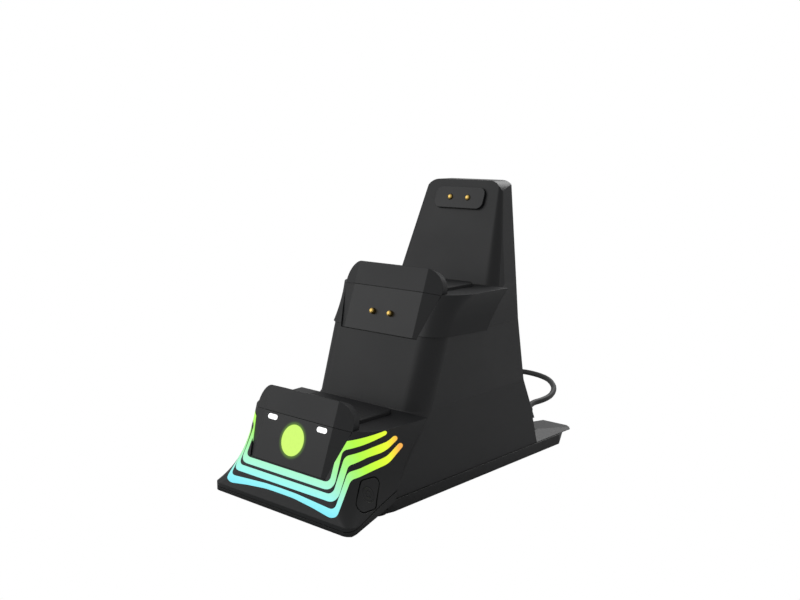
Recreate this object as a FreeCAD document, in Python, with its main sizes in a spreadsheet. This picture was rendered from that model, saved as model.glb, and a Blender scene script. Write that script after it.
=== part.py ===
import FreeCAD, Part
import math
import os
import re

import Sketcher
from FreeCAD import Placement, Rotation, Vector

# A desk dock that charges two handsets, one above the other on two leaning steps.
# Millimetres. The front faces -Y, +X is the right hand of someone facing it, and z = 0 is the table.

doc = FreeCAD.newDocument("charging_dock")
dims = doc.addObject("Spreadsheet::Sheet", "dims")

DIMENSIONS = {
    # Both steps share one leaning form. The rear step is the front one moved back and up.
    "lean": 0.37,                # how far a front face goes back for each millimetre of height
    "step_back": 47.3,
    "step_up": 41.4,
    "seam_start": 18.6,          # where the plane that ends a step at the rear meets the table
    "seam_lean": 0.78,
    "wall": 2.0,
    "gap": 0.3,
    # Levels of the leaning form: height, half width at the corner, at the rear, and corner radius.
    "foot_level": 3.2,
    "foot_half": 36.0,
    "foot_rear": 36.0,
    "foot_round": 3.6,
    "ankle_level": 9.0,
    "ankle_half": 32.0,
    "ankle_rear": 34.0,
    "ankle_round": 8.5,
    "waist_level": 16.5,
    "waist_half": 28.3,
    "waist_rear": 32.0,
    "waist_round": 9.0,
    "chest_level": 24.0,
    "chest_half": 27.9,
    "chest_rear": 31.9,
    "chest_round": 9.0,
    "seat_level": 31.5,
    "seat_half": 31.5,
    "seat_rear": 33.3,
    "seat_round": 13.5,
    "waist_setback": 0.3,        # how far the skin falls behind the plane of the lip at each level
    "chest_setback": 1.0,
    "seat_setback": 1.2,
    "skirt_clear": 0.2,
    "sole_level": 1.5,           # the parting line between cover and sole, and its rise to the rear
    "sole_rise": 0.3,
    "sole_gap": 0.25,
    "heel_start": 3.5,
    "heel_rise": 0.32,
    # The lip that stands in front of each seat, along its leaning face.
    "lip_low": 15.4,
    "lip_length": 27.0,
    "lip_foot_half": 19.6,
    "lip_shoulder_half": 24.8,
    "lip_shoulder": 18.5,
    "lip_thickness": 5.2,
    "lip_flat_half": 17.6,
    "lip_bevel": 2.4,
    "lip_round": 8.2,
    "panel_length": 17.7,
    "panel_thickness": 2.4,
    "lamp_half": 2.5,
    "lamp_width": 1.9,
    "lamp_place": 12.8,
    "lamp_level": 15.9,
    "mark_radius": 5.6,
    "mark_level": 9.7,
    # The tower, the back wall above it and the low rear deck.
    "rim_level": 5.2,
    "tower_half": 31.4,
    "tower_mid_half": 27.5,
    "tower_mid_rear": 25.5,
    "tower_back": 118.0,
    "tower_mid_back": 113.0,
    "tower_top_back": 107.5,
    "wall_level": 113.0,
    "wall_half": 19.0,
    "wall_thickness": 8.4,
    "deck_end": 143.5,
    "deck_high": 9.2,
    "deck_low": 5.6,
    "deck_half": 26.0,
    "notch_half": 15.5,
    "notch_start": 126.0,
    # The tray below, its feet and the boards in it.
    "tray_half": 32.0,
    "tray_low": 1.0,
    "tray_floor": 1.6,
    "tray_front": 19.0,
    "tray_end": 141.0,
    "foot_radius": 4.2,
    "board_thickness": 1.2,
    # Power inlet and the plug in it.
    "inlet_height": 3.2,
    "inlet_width": 9.0,
    "inlet_depth": 7.4,
    "inlet_level": 4.6,
    "shell_height": 2.5,
    "shell_width": 8.3,
    "plug_height": 6.0,
    "plug_width": 10.6,
    "plug_length": 18.0,
    "boot_length": 9.0,
    "cord_radius": 1.4,
    "coil_radius": 16.5,
    "far_plug_width": 15.0,
    "far_plug_height": 8.0,
    "far_plug_length": 34.0,
    # Sprung contact pins.
    "pin_radius": 1.1,
    "pin_flange": 1.5,
    "pin_spacing": 9.0,
    "pin_clearance": 0.08,
    "pin_rise": 1.6,
    "pin_flange_depth": 3.2,
    "barrel_radius": 2.0,
    "barrel_end": 6.2,
    "contact_level": 8.0,
    "contact_half": 9.5,
    "contact_height": 6.0,
    # Mode button on the right-hand side.
    "button_y": 13.1,
    "button_z": 10.9,
    "button_width": 8.5,
    "button_height": 9.0,
    "button_lean": 7.1,          # how far the top of the button stands behind its foot
    "button_gap": 0.35,
}

for row, (alias, value) in enumerate(DIMENSIONS.items(), 1):
    dims.set("A%d" % row, alias.replace("_", " "))
    dims.set("B%d" % row, str(value))
    dims.setAlias("B%d" % row, alias)
doc.recompute()


def size(text):
    """The present value of an expression in the sheet's aliases."""
    return float(dims.evalExpression(str(text)))


def bound(text):
    """The same expression as any other object reads it, with the sheet's name before each alias."""
    return re.sub(r"[a-z_]+", lambda word: "dims." + word[0] if word[0] in DIMENSIONS else word[0], str(text))


def bind(thing, prop, text):
    thing.setExpression(prop, bound(text))


def constrain(sketch, kind, *where, text):
    """Add one driving distance to a sketch and bind it to the sheet."""
    index = sketch.addConstraint(Sketcher.Constraint(kind, *where, size(text)))
    sketch.setExpression("Constraints[%d]" % index, bound(text))


def pin_point(sketch, piece, end, across, along):
    """Hold one end of a sketch line at two expressions measured from the sketch's origin."""
    for kind, text, axis in (("DistanceX", across, -2), ("DistanceY", along, -1)):
        if abs(size(text)) < 1e-9:
            sketch.addConstraint(Sketcher.Constraint("PointOnObject", piece, end, axis))
        else:
            constrain(sketch, kind, -1, 1, piece, end, text=text)


def draw_polygon(sketch, corners):
    """A closed run of straight lines whose corners are pairs of expressions."""
    points = [Vector(size(a), size(b), 0) for a, b in corners]
    count = len(points)
    sides = [Part.LineSegment(points[i], points[(i + 1) % count]) for i in range(count)]
    first = sketch.addGeometry(sides, False)[0]
    for i, (across, along) in enumerate(corners):
        sketch.addConstraint(Sketcher.Constraint("Coincident", first + (i - 1) % count, 2, first + i, 1))
        pin_point(sketch, first + i, 1, across, along)


def draw_circle(sketch, across, along, radius):
    """A circle whose centre and radius are expressions."""
    centre = Vector(size(across), size(along), 0)
    ring = sketch.addGeometry(Part.Circle(centre, Vector(0, 0, 1), size(radius)), False)
    pin_point(sketch, ring, 3, across, along)
    constrain(sketch, "Radius", ring, text=radius)


def mirrored(corners):
    """The right half of an outline, from bottom to top, with its left half added."""
    return list(corners) + [("-(%s)" % a, b) for a, b in reversed(corners)]


def origin_plane(body, role):
    return [plane for plane in body.Origin.OriginFeatures if plane.Role == role][0]


def new_body(label):
    body = doc.addObject("PartDesign::Body", label)
    body.Label = label
    return body


def body_sketch(body, name, role, offset="0"):
    """A sketch on one of the body's own planes, moved along that plane's normal."""
    sketch = body.newObject("Sketcher::SketchObject", name)
    sketch.AttachmentSupport = [(origin_plane(body, role), "")]
    sketch.MapMode = "FlatFace"
    bind(sketch, "AttachmentOffset.Base.z", offset)
    return sketch


def pad(body, sketch, length, reverse=False):
    feature = body.newObject("PartDesign::Pad", sketch.Name + "_pad")
    feature.Profile = sketch
    feature.Reversed = reverse
    bind(feature, "Length", length)
    sketch.Visibility = False
    doc.recompute()
    return feature


def pocket(body, sketch, length=None, reverse=False):
    """Cut a sketch out of the body, all the way in both directions where no length is given."""
    before = body.Shape.Volume
    feature = body.newObject("PartDesign::Pocket", sketch.Name + "_pocket")
    feature.Profile = sketch
    if length is None:
        feature.SideType = "Symmetric"
        feature.Length = 400
    else:
        feature.Reversed = reverse
        bind(feature, "Length", length)
    doc.recompute()
    if body.Shape.Volume >= before:
        raise RuntimeError("pocket cuts nothing: " + sketch.Name)
    return feature


def soften(body, radius, choose, kind="Fillet"):
    """Round or chamfer the edges that choose(edge) accepts."""
    base = body.Tip
    names = ["Edge%d" % (i + 1) for i, edge in enumerate(base.Shape.Edges) if choose(edge)]
    if not names:
        raise RuntimeError("no edge to soften on " + body.Label)
    feature = body.newObject("PartDesign::" + kind, body.Name + "_" + kind.lower())
    feature.Base = (base, names)
    bind(feature, "Radius" if kind == "Fillet" else "Size", radius)
    doc.recompute()
    if feature.Shape.isNull():
        raise RuntimeError("%s failed on %s" % (kind, body.Label))
    return feature


def plate(label, corners, role="XY_Plane", offset="0", length="1", reverse=False):
    """A body padded from one polygon on one of its planes."""
    body = new_body(label)
    sketch = body_sketch(body, label + "_outline", role, offset)
    draw_polygon(sketch, corners)
    pad(body, sketch, length, reverse=reverse)
    return body


def boolean(kind, label, base, *tools):
    """A Part cut, common or fuse of whole objects."""
    if kind == "Fuse" or len(tools) > 1:
        tool = tools[0]
        if len(tools) > 1:
            tool = doc.addObject("Part::MultiFuse", label + "_tools")
            tool.Shapes = list(tools)
    else:
        tool = tools[0]
    result = doc.addObject("Part::" + kind, label)
    result.Base = base
    result.Tool = tool
    result.Label = label
    doc.recompute()
    return result


def edge_length_along(edge, direction):
    """How much of a straight edge's length runs along a direction, as a share of one."""
    if edge.Curve.TypeId != "Part::GeomLine":
        return 0.0
    return abs(edge.tangentAt(edge.FirstParameter).dot(direction))


LEAN_ANGLE = math.degrees(math.atan(size("lean")))
LEAN_TURN = Rotation(Vector(1, 0, 0), -LEAN_ANGLE)
REAR_STEP = Vector(0, size("step_back"), size("step_up"))


# The leaning form of a step is lofted through level outlines. Each outline has a straight front,
# two large tangent corners, two straight sides and a straight rear.

def level_outline(label, height, front, half, rear_half, rear, radius):
    sketch = doc.addObject("Sketcher::SketchObject", label)
    bind(sketch, "Placement.Base.z", height)
    y, x, end_x, end_y, r = (size(text) for text in (front, half, rear_half, rear, radius))
    corner = Vector(x, y, 0)
    side = (Vector(end_x, end_y, 0) - corner).normalize()
    tangent = r / math.tan(math.acos(-side.x) / 2)
    start = Vector(x - tangent, y, 0)
    finish = corner + side * tangent
    centre = Vector(x - tangent, y + r, 0)
    turn = math.atan2(finish.y - centre.y, finish.x - centre.x)
    flip = lambda point: Vector(-point.x, point.y, 0)
    up = Vector(0, 0, 1)
    rear_point = Vector(end_x, end_y, 0)
    sketch.addGeometry([
        Part.LineSegment(flip(start), start),
        Part.ArcOfCircle(Part.Circle(centre, up, r), -math.pi / 2, turn),
        Part.LineSegment(finish, rear_point),
        Part.LineSegment(rear_point, flip(rear_point)),
        Part.LineSegment(flip(rear_point), flip(finish)),
        Part.ArcOfCircle(Part.Circle(flip(centre), up, r), math.pi - turn, 3 * math.pi / 2),
        Part.LineSegment(start, corner),
    ], False)
    sketch.setConstruction(6, True)
    sketch.addConstraint([
        Sketcher.Constraint("Tangent", 0, 2, 1, 1),
        Sketcher.Constraint("Tangent", 1, 2, 2, 1),
        Sketcher.Constraint("Coincident", 2, 2, 3, 1),
        Sketcher.Constraint("Coincident", 3, 2, 4, 1),
        Sketcher.Constraint("Tangent", 4, 2, 5, 1),
        Sketcher.Constraint("Tangent", 5, 2, 0, 1),
        Sketcher.Constraint("Symmetric", 0, 1, 0, 2, -2),
        Sketcher.Constraint("Symmetric", 3, 1, 3, 2, -2),
        Sketcher.Constraint("Equal", 1, 5),
        Sketcher.Constraint("Coincident", 6, 1, 0, 2),
        Sketcher.Constraint("PointOnObject", 6, 2, 0),
        Sketcher.Constraint("PointOnObject", 6, 2, 2),
    ])
    constrain(sketch, "Radius", 1, text=radius)
    constrain(sketch, "DistanceY", -1, 1, 0, 1, text=front)
    constrain(sketch, "DistanceX", -1, 1, 3, 1, text=rear_half)
    constrain(sketch, "DistanceY", -1, 1, 3, 1, text=rear)
    constrain(sketch, "DistanceX", -1, 1, 6, 2, text=half)
    return sketch


def loft(label, outlines, ruled=False):
    body = doc.addObject("Part::Loft", label)
    body.Sections = outlines
    body.Solid = True
    body.Ruled = ruled
    doc.recompute()
    return body


def step_form(label, levels, inset="0", rear_more="0", top=None, bottom=None):
    """The leaning form through some of its levels, shrunk inwards by inset on the front and sides."""
    outlines = []
    for name in levels:
        height = name + "_level"
        if name == levels[-1] and top is not None:
            height = top
        if name == levels[0] and bottom is not None:
            height = bottom
        setback = name + "_setback" if name + "_setback" in DIMENSIONS else "0"
        outlines.append(level_outline(
            label + "_" + name, height,
            "lean * (%s_level - foot_level) + %s + %s" % (name, setback, inset),
            "%s_half - %s" % (name, inset),
            "%s_rear - %s" % (name, inset),
            "seam_start + seam_lean * %s_level + %s" % (name, rear_more),
            "%s_round - %s" % (name, inset)))
    return loft(label, outlines)


FRONT_LEVELS = ["foot", "ankle", "waist", "chest", "seat"]
REAR_LEVELS = ["waist", "chest", "seat"]


# The lip: a thick moulded block with bevelled sides that stands before each seat. Its own frame
# has x across, z up along the leaning face and y into it, and its placement leans it back.

def lip_corners(grow="0", low="0", high="lip_length"):
    """Outline of the lip between two heights along its face. The sides lean outwards going up."""
    def half_at(level):
        return "lip_foot_half + (lip_shoulder_half - lip_foot_half) * (%s) / lip_shoulder + %s" % (level, grow)
    if size(high) <= size("lip_shoulder"):
        return mirrored([(half_at(low), low), (half_at(high), high)])
    return mirrored([(half_at(low), low), ("lip_shoulder_half + " + grow, "lip_shoulder"),
                     ("lip_shoulder_half + " + grow, high)])


def lip_placement(step=Vector(0, 0, 0)):
    foot = Vector(0, size("lean * (lip_low - foot_level)"), size("lip_low"))
    return Placement(foot + step, LEAN_TURN)


def cut_bevels(body, name, depth="lip_bevel"):
    """Slope both sides of the face back, from the flat middle to the outer edge."""
    for side in (1, -1):
        wedge = body_sketch(body, "%s_bevel_%s" % (name, "right" if side > 0 else "left"), "XY_Plane")
        draw_polygon(wedge, [("%d * lip_flat_half" % side, "0"),
                             ("%d * (lip_shoulder_half + 1)" % side, "0"),
                             ("%d * (lip_shoulder_half + 1)" % side, depth + " * 1.14")])
        pocket(body, wedge)


def face_edge(edge):
    """True for the outline edges that run into the thickness at the top corners of the lip."""
    middle = edge.CenterOfMass
    return edge_length_along(edge, Vector(0, 1, 0)) > 0.99 and middle.z > size("lip_length") - 0.5


def lip_body(label, step):
    body = new_body(label)
    outline = body_sketch(body, label + "_outline", "XZ_Plane")
    draw_polygon(outline, lip_corners(low="0.1"))
    pad(body, outline, "lip_thickness", reverse=True)
    soften(body, "lip_round", face_edge)
    cut_bevels(body, label)
    seat_for_panel = body_sketch(body, label + "_panel_seat", "XZ_Plane")
    draw_polygon(seat_for_panel, lip_corners(grow="2", low="0", high="panel_length + 0.1"))
    pocket(body, seat_for_panel, "panel_thickness")
    body.Placement = lip_placement(step)
    return body


def panel_body(label, step):
    body = new_body(label)
    outline = body_sketch(body, label + "_outline", "XZ_Plane")
    draw_polygon(outline, lip_corners(low="0.1", high="panel_length"))
    pad(body, outline, "panel_thickness", reverse=True)
    cut_bevels(body, label, "(panel_thickness - 0.1)")
    body.Placement = lip_placement(step)
    return body


def slot_hole(body, name, across, along, half, width, depth=None):
    """A slot with round ends in a face on the XZ plane."""
    sketch = body_sketch(body, name, "XZ_Plane")
    r = "(%s) / 2" % width
    a, b = size(across), size(along)
    reach = size(half) - size(r)
    normal = Vector(0, 0, 1)
    sketch.addGeometry([
        Part.ArcOfCircle(Part.Circle(Vector(a - reach, b, 0), normal, size(r)), math.pi / 2, 3 * math.pi / 2),
        Part.ArcOfCircle(Part.Circle(Vector(a + reach, b, 0), normal, size(r)), -math.pi / 2, math.pi / 2),
        Part.LineSegment(Vector(a - reach, b - size(r), 0), Vector(a + reach, b - size(r), 0)),
        Part.LineSegment(Vector(a + reach, b + size(r), 0), Vector(a - reach, b + size(r), 0)),
    ], False)
    sketch.addConstraint([
        Sketcher.Constraint("Tangent", 0, 2, 2, 1),
        Sketcher.Constraint("Tangent", 2, 2, 1, 1),
        Sketcher.Constraint("Tangent", 1, 2, 3, 1),
        Sketcher.Constraint("Tangent", 3, 2, 0, 1),
        Sketcher.Constraint("Horizontal", 2),
    ])
    constrain(sketch, "Radius", 0, text=r)
    constrain(sketch, "DistanceX", -1, 1, 1, 3, text="%s + (%s) - %s" % (across, half, r))
    constrain(sketch, "DistanceX", -1, 1, 0, 3, text="%s - (%s) + %s" % (across, half, r))
    constrain(sketch, "DistanceY", -1, 1, 1, 3, text=along)
    return sketch


front_lip = lip_body("front_lip", Vector(0, 0, 0))
rear_lip_form = lip_body("rear_lip_form", REAR_STEP)
front_panel = panel_body("front_panel", Vector(0, 0, 0))
contact_panel_form = panel_body("contact_panel_form", REAR_STEP)

# The smoked panel lets two status lamps and a round mark shine through. Light ways behind them
# run on through the lip.
for body, reach in ((front_panel, "panel_thickness"), (front_lip, "lip_thickness")):
    for side, word in ((-1, "left"), (1, "right")):
        hole = slot_hole(body, "%s_lamp_way_%s" % (body.Name, word), "%d * lamp_place" % side,
                         "lamp_level", "lamp_half", "lamp_width")
        pocket(body, hole)
    ring = body_sketch(body, body.Name + "_mark_way", "XZ_Plane")
    draw_circle(ring, "0", "mark_level", "mark_radius")
    pocket(body, ring)

lamp_lenses = []
for side, word in ((-1, "left"), (1, "right")):
    lens = new_body("status_lens_" + word)
    outline = slot_hole(lens, lens.Name + "_outline", "%d * lamp_place" % side,
                        "lamp_level", "lamp_half - 0.02", "lamp_width - 0.04")
    pad(lens, outline, "lip_thickness - 0.2", reverse=True)
    lens.Placement = lip_placement()
    lamp_lenses.append(lens)

mark_lens = new_body("mark_lens")
disc = body_sketch(mark_lens, "mark_lens_outline", "XZ_Plane")
draw_circle(disc, "0", "mark_level", "mark_radius - 0.02")
pad(mark_lens, disc, "lip_thickness - 0.2", reverse=True)
mark_lens.Placement = lip_placement()


# The front cover: one moulded shell, open below and behind, whose top is the front seat.
outer = step_form("front_outer", FRONT_LEVELS)
skirt_outline = level_outline("skirt_outline", "skirt_clear", "0", "foot_half", "foot_rear",
                              "seam_start + seam_lean * foot_level", "foot_round")
skirt = doc.addObject("Part::Extrusion", "skirt")
skirt.Base = skirt_outline
skirt.DirMode = "Custom"
skirt.Dir = Vector(0, 0, 1)
skirt.Solid = True
bind(skirt, "LengthFwd", "foot_level - skirt_clear")
whole_front = boolean("Fuse", "front_whole", outer, skirt)
cavity = step_form("front_cavity", FRONT_LEVELS, inset="wall", rear_more="-wall",
                   top="seat_level - wall", bottom="-2")
shell = boolean("Cut", "front_shell", whole_front, cavity)


# The cover stands on the sole, the rim of the tray. Their parting line rises to the rear, and so
# does the lower edge of the sole.
def lengthwise(label, profile, offset="-60", length="120"):
    """A block whose side outline, in y and z, runs across the whole dock."""
    return plate(label, profile, role="YZ_Plane", offset=offset, length=length)


under_cover = lengthwise("under_cover", [
    ("-5", "sole_level + sole_gap - 5 * sole_rise"), ("-5", "-8"),
    ("60", "-8"), ("60", "sole_level + sole_gap + 60 * sole_rise"),
])
over_sole = lengthwise("over_sole", [
    ("-5", "sole_level - 5 * sole_rise"), ("60", "sole_level + 60 * sole_rise"),
    ("60", "50"), ("-5", "50"),
])
heel = lengthwise("heel_wedge", [("heel_start", "0"), ("heel_start + 60", "heel_rise * 60"),
                                 ("heel_start + 60", "-8"), ("heel_start", "-8")])
sole_cavity = step_form("sole_cavity", ["foot", "ankle", "waist"], inset="wall", rear_more="14",
                        bottom="-2")
sole_chamfers = []
for side, word in ((1, "right"), (-1, "left")):
    chamfer = plate("sole_chamfer_" + word, [("%d * 36.2" % side, "0"), ("%d * 35.0" % side, "-2.5"),
                                             ("%d * 40" % side, "-2.5"), ("%d * 40" % side, "0")],
                    role="XZ_Plane", offset="-40", length="45")
    chamfer.Placement = Placement(Vector(0, 0, size("sole_level")),
                                  Rotation(Vector(1, 0, 0), math.degrees(math.atan(size("sole_rise")))))
    sole_chamfers.append(chamfer)
sole_rim = boolean("Cut", "sole_rim", whole_front, sole_cavity, over_sole, heel, *sole_chamfers)

# Inside the rim a shelf on each side closes the cover from below down to the floor of the tray.
sole_shelves = []
for start, word in (("27.9", "right"), ("-34.6", "left")):
    shelf = plate("shelf_" + word, [("2.6", "0.2"), ("27", "heel_rise * (27 - heel_start) + 0.2"),
                                    ("27", "heel_rise * (27 - heel_start) + 1.3"), ("2.6", "1.3")],
                  role="YZ_Plane", offset=start, length="6.7")
    sole_shelves.append(boolean("Common", "sole_shelf_" + word, whole_front, shelf))
for start, word in (("27.0", "right"), ("-28.5", "left")):
    sole_shelves.append(lengthwise("sole_side_" + word,
                                   [("3", "1.0"), ("23", "1.0"), ("23", "7.2"), ("3", "1.2")],
                                   offset=start, length="1.5"))


def lip_recess(label, step=Vector(0, 0, 0)):
    """The space that a lip and its panel fill, with a little room round them."""
    body = plate(label, lip_corners(grow="0.05", low="0"), role="XZ_Plane", offset="8",
                 length="lip_thickness + 8.05", reverse=True)
    body.Placement = lip_placement(step)
    return body


# Three light strips lie in grooves round the front of the cover. Seen along the diagonal of the
# plan, each is a band: level in front, up beside the lip, then out and back over the shoulder.
# A corner is its place along the diagonal, its height and the radius that rounds it.
DIAGONAL = Placement(Vector(0, 0, 0), Rotation(Vector(0, 0, 1), 45) * Rotation(Vector(1, 0, 0), 90))
STRIP_EDGES = {
    "top": {
        "lower": [(-4, 12.6, 0), (20.0, 12.6, 4.5), (23.3, 25.3, 2.5), (30.5, 27.2, 8), (39.4, 29.8, 1.0)],
        "upper": [(-4, 14.9, 0), (18.7, 14.9, 2.5), (22.3, 27.8, 3.0), (30.3, 29.6, 8), (37.9, 31.3, 0.6)],
    },
    "middle": {
        "lower": [(-4, 9.4, 0), (21.2, 9.4, 4.5), (25.2, 20.6, 2.0), (31.5, 22.5, 6), (38.2, 23.1, 8),
                  (42.8, 26.7, 1.0)],
        "upper": [(-4, 11.65, 0), (19.8, 11.65, 3.0), (24.0, 23.6, 3.0), (33.0, 25.7, 10), (38.9, 26.6, 5),
                  (41.4, 28.4, 1.0)],
    },
    "bottom": {
        "lower": [(-4, 6.8, 0), (6.0, 6.7, 20), (13.0, 5.8, 15), (20.6, 4.35, 3.5), (26.0, 16.2, 2.5),
                  (33.0, 17.5, 10), (39.3, 18.6, 6), (44.8, 23.6, 1.0)],
        "upper": [(-4, 8.55, 0), (7.0, 8.4, 20), (20.3, 7.3, 2.5), (25.0, 18.6, 2.5), (32.5, 20.1, 10),
                  (38.7, 21.2, 6), (43.3, 25.1, 1.0)],
    },
}


def rounded_outline(corners):
    """A closed face whose corners are rounded by arcs that touch both of their sides."""
    count = len(corners)
    pieces = []
    for i, (across, height, radius) in enumerate(corners):
        here = Vector(across, height, 0)
        before = Vector(corners[i - 1][0], corners[i - 1][1], 0) - here
        after = Vector(corners[(i + 1) % count][0], corners[(i + 1) % count][1], 0) - here
        before.normalize()
        after.normalize()
        if radius == 0:
            pieces.append((here, here, None))
            continue
        half_turn = before.getAngle(after) / 2
        reach = radius / math.tan(half_turn)
        start, finish = here + before * reach, here + after * reach
        inward = (before + after).normalize()
        middle = here + inward * (radius / math.sin(half_turn) - radius)
        pieces.append((start, finish, middle))
    edges = []
    for i, (start, finish, middle) in enumerate(pieces):
        if middle is not None:
            edges.append(Part.Arc(start, middle, finish).toShape())
        edges.append(Part.LineSegment(finish, pieces[(i + 1) % count][0]).toShape())
    return Part.Face(Part.Wire(edges))


def strip_band(name):
    """The band of one strip as a long prism along the plan's diagonal, on both sides of the dock."""
    edges = STRIP_EDGES[name]
    face = rounded_outline(edges["lower"] + list(reversed(edges["upper"])))
    face.Placement = DIAGONAL
    along = DIAGONAL.Rotation.multVec(Vector(0, 0, 1))
    right = face.extrude(along * 120)
    right.translate(along * -60)
    right = right.common(Part.makeBox(80, 120, 60, Vector(0, -20, -5)))
    left = right.mirror(Vector(0, 0, 0), Vector(1, 0, 0))
    band = doc.addObject("Part::Feature", "band_" + name)
    band.Shape = right.fuse(left).removeSplitter()
    return band


bands = {name: strip_band(name) for name in STRIP_EDGES}
strip_floor = step_form("strip_floor", FRONT_LEVELS, inset="1.2", rear_more="14",
                        top="seat_level + 3", bottom="0")
skin = boolean("Cut", "front_skin", outer, strip_floor)
strip_forms = [boolean("Common", "strip_form_" + name, skin, band) for name, band in bands.items()]

# The mode button sits in a leaning well in the right-hand side and slides straight in.
def button_prism(label, grow, start, length, rounding):
    """The button's leaning outline, grown by a distance and run along x."""
    half, rise = "(button_width / 2 + %s * 1.28)" % grow, "(button_height / 2 + %s)" % grow
    lean_over = "button_lean / 2"
    body = plate(label, [("button_y - %s - %s" % (half, lean_over), "button_z - " + rise),
                         ("button_y + %s - %s" % (half, lean_over), "button_z - " + rise),
                         ("button_y + %s + %s" % (half, lean_over), "button_z + " + rise),
                         ("button_y - %s + %s" % (half, lean_over), "button_z + " + rise)],
                 role="YZ_Plane", offset=start, length=length)
    soften(body, rounding, lambda edge: edge_length_along(edge, Vector(1, 0, 0)) > 0.99)
    return body


well = button_prism("button_well", "button_gap", "23", "20", "2.1")
button_rod = button_prism("button_rod", "0", "27.6", "15", "1.8")
button_face = boolean("Common", "button_face", whole_front, button_rod)
button_stem = doc.addObject("Part::Cylinder", "button_stem")
bind(button_stem, "Radius", "3.2")
bind(button_stem, "Height", "6")
button_stem.Placement = Placement(Vector(24.1, size("button_y"), size("button_z")),
                                  Rotation(Vector(0, 0, 1), Vector(1, 0, 0)))
mode_button = boolean("Fuse", "mode_button", button_face, button_stem)

recess = lip_recess("front_lip_recess")
grooves = [boolean("Cut", "groove_" + name, band, strip_floor) for name, band in bands.items()]
front_cut = boolean("Cut", "front_cut", shell, under_cover, recess, well, *grooves)
light_strips = [boolean("Cut", "light_strip_" + name, strip, recess)
                for name, strip in zip(STRIP_EDGES, strip_forms)]


# The rear seat repeats the upper half of the form, moved back and up.
rear_outer = step_form("rear_outer", REAR_LEVELS)
rear_cavity = step_form("rear_cavity", REAR_LEVELS, inset="wall", rear_more="-wall",
                        top="seat_level - wall", bottom="waist_level - 1")
rear_hollow = boolean("Cut", "rear_hollow", rear_outer, rear_cavity)
rear_recess = lip_recess("rear_lip_recess")
rear_seat = boolean("Cut", "rear_seat", rear_hollow, rear_recess)
rear_seat.Placement = Placement(REAR_STEP, Rotation())


# The tower carries the rear seat and the back wall. It is lofted in straight facets from the rim
# of the tray, and its front leans with the seam below the front seat.
def tower_outlines(label, inset, low, high):
    front_mid = "step_back + lean * (seat_level - foot_level - step_up) + 1.0 + gap + " + inset
    front_top = "step_back + lean * (waist_level - foot_level) + waist_setback + " + inset
    return [
        level_outline(label + "_low", low, "seam_start + seam_lean * rim_level + gap + " + inset,
                      "tower_half - " + inset, "tower_half - " + inset, "tower_back - " + inset, "2.5"),
        level_outline(label + "_mid", "seat_level", front_mid,
                      "tower_mid_half - " + inset, "tower_mid_rear - " + inset,
                      "tower_mid_back - " + inset, "8"),
        level_outline(label + "_high", high, front_top,
                      "waist_half - " + inset, "tower_mid_rear + 0.5 - " + inset,
                      "tower_top_back - " + inset, "8"),
    ]


tower_top = "step_up + waist_level"
tower_outer = loft("tower_outer", tower_outlines("tower_outer", "0", "rim_level", tower_top), ruled=True)
tower_cavity = loft("tower_cavity", tower_outlines("tower_cavity", "wall", "rim_level - 0.01",
                                                   tower_top + " - wall"), ruled=True)

# The low rear deck slopes down to the end of the dock and has a notch for the power plug.
deck = plate("deck_form",
             [("tower_back - 3", "rim_level"), ("deck_end", "rim_level"), ("deck_end", "deck_low"),
              ("tower_back - 3", "deck_high")],
             role="YZ_Plane", offset="-tower_half", length="2 * tower_half")
deck_cavity = plate("deck_cavity",
                    [("tower_back - 20", "rim_level - 1"), ("notch_start - wall", "rim_level - 1"),
                     ("notch_start - wall", "deck_high - 3.2"), ("tower_back - 20", "deck_high - 2")],
                    role="YZ_Plane", offset="wall - tower_half", length="2 * (tower_half - wall)")
deck_sides = []
for side, word in ((1, "right"), (-1, "left")):
    wedge = plate("deck_side_" + word,
                  [("%d * deck_half" % side, "deck_high + 6"), ("%d * deck_half" % side, "deck_high - 1.0"),
                   ("%d * (tower_half + 1)" % side, "rim_level - 0.4"),
                   ("%d * (tower_half + 1)" % side, "deck_high + 6")],
                  role="XZ_Plane", offset="-(deck_end + 5)", length="deck_end + 8 - tower_back")
    corner = plate("deck_corner_" + word,
                   [("%d * (deck_half + 0.5)" % side, "deck_end + 1"),
                    ("%d * (tower_half + 1)" % side, "deck_end - 4"),
                    ("%d * (tower_half + 1)" % side, "deck_end + 1")], offset="0", length="20")
    deck_sides += [wedge, corner]
notch = plate("notch_form", mirrored([("notch_half", "notch_start"), ("notch_half", "deck_end + 10")]),
              offset="-1", length="30")
inlet_way = plate("inlet_way", mirrored([("inlet_width / 2 + 0.15", "notch_start - 9"),
                                         ("inlet_width / 2 + 0.15", "notch_start + 1")]),
                  offset="inlet_level - inlet_height / 2 - 0.15", length="inlet_height + 0.3")
tower_solid = boolean("Fuse", "tower_solid", tower_outer, deck)


# The back wall stands behind the rear seat and holds the upper contacts.
def back_outlines(label, inset, low, high):
    seam = "step_back + seam_start + seam_lean * %s + gap + " + inset
    return [
        level_outline(label + "_low", low, seam % "waist_level",
                      "tower_mid_half - " + inset, "tower_mid_rear + 0.5 - " + inset,
                      "tower_top_back - " + inset, "2.5"),
        level_outline(label + "_mid", "step_up + seat_level", seam % "seat_level",
                      "tower_mid_half - 0.5 - " + inset, "tower_mid_rear - 1 - " + inset,
                      "tower_top_back + 0.4 - " + inset, "5"),
        level_outline(label + "_high", high, "2 * step_back + lean * (%s - foot_level - 2 * step_up) + %s"
                      % (high, inset),
                      "wall_half - " + inset, "wall_half - 1.5 - " + inset,
                      "2 * step_back + lean * (%s - foot_level - 2 * step_up) + wall_thickness - %s"
                      % (high, inset), "1.2"),
    ]


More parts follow.
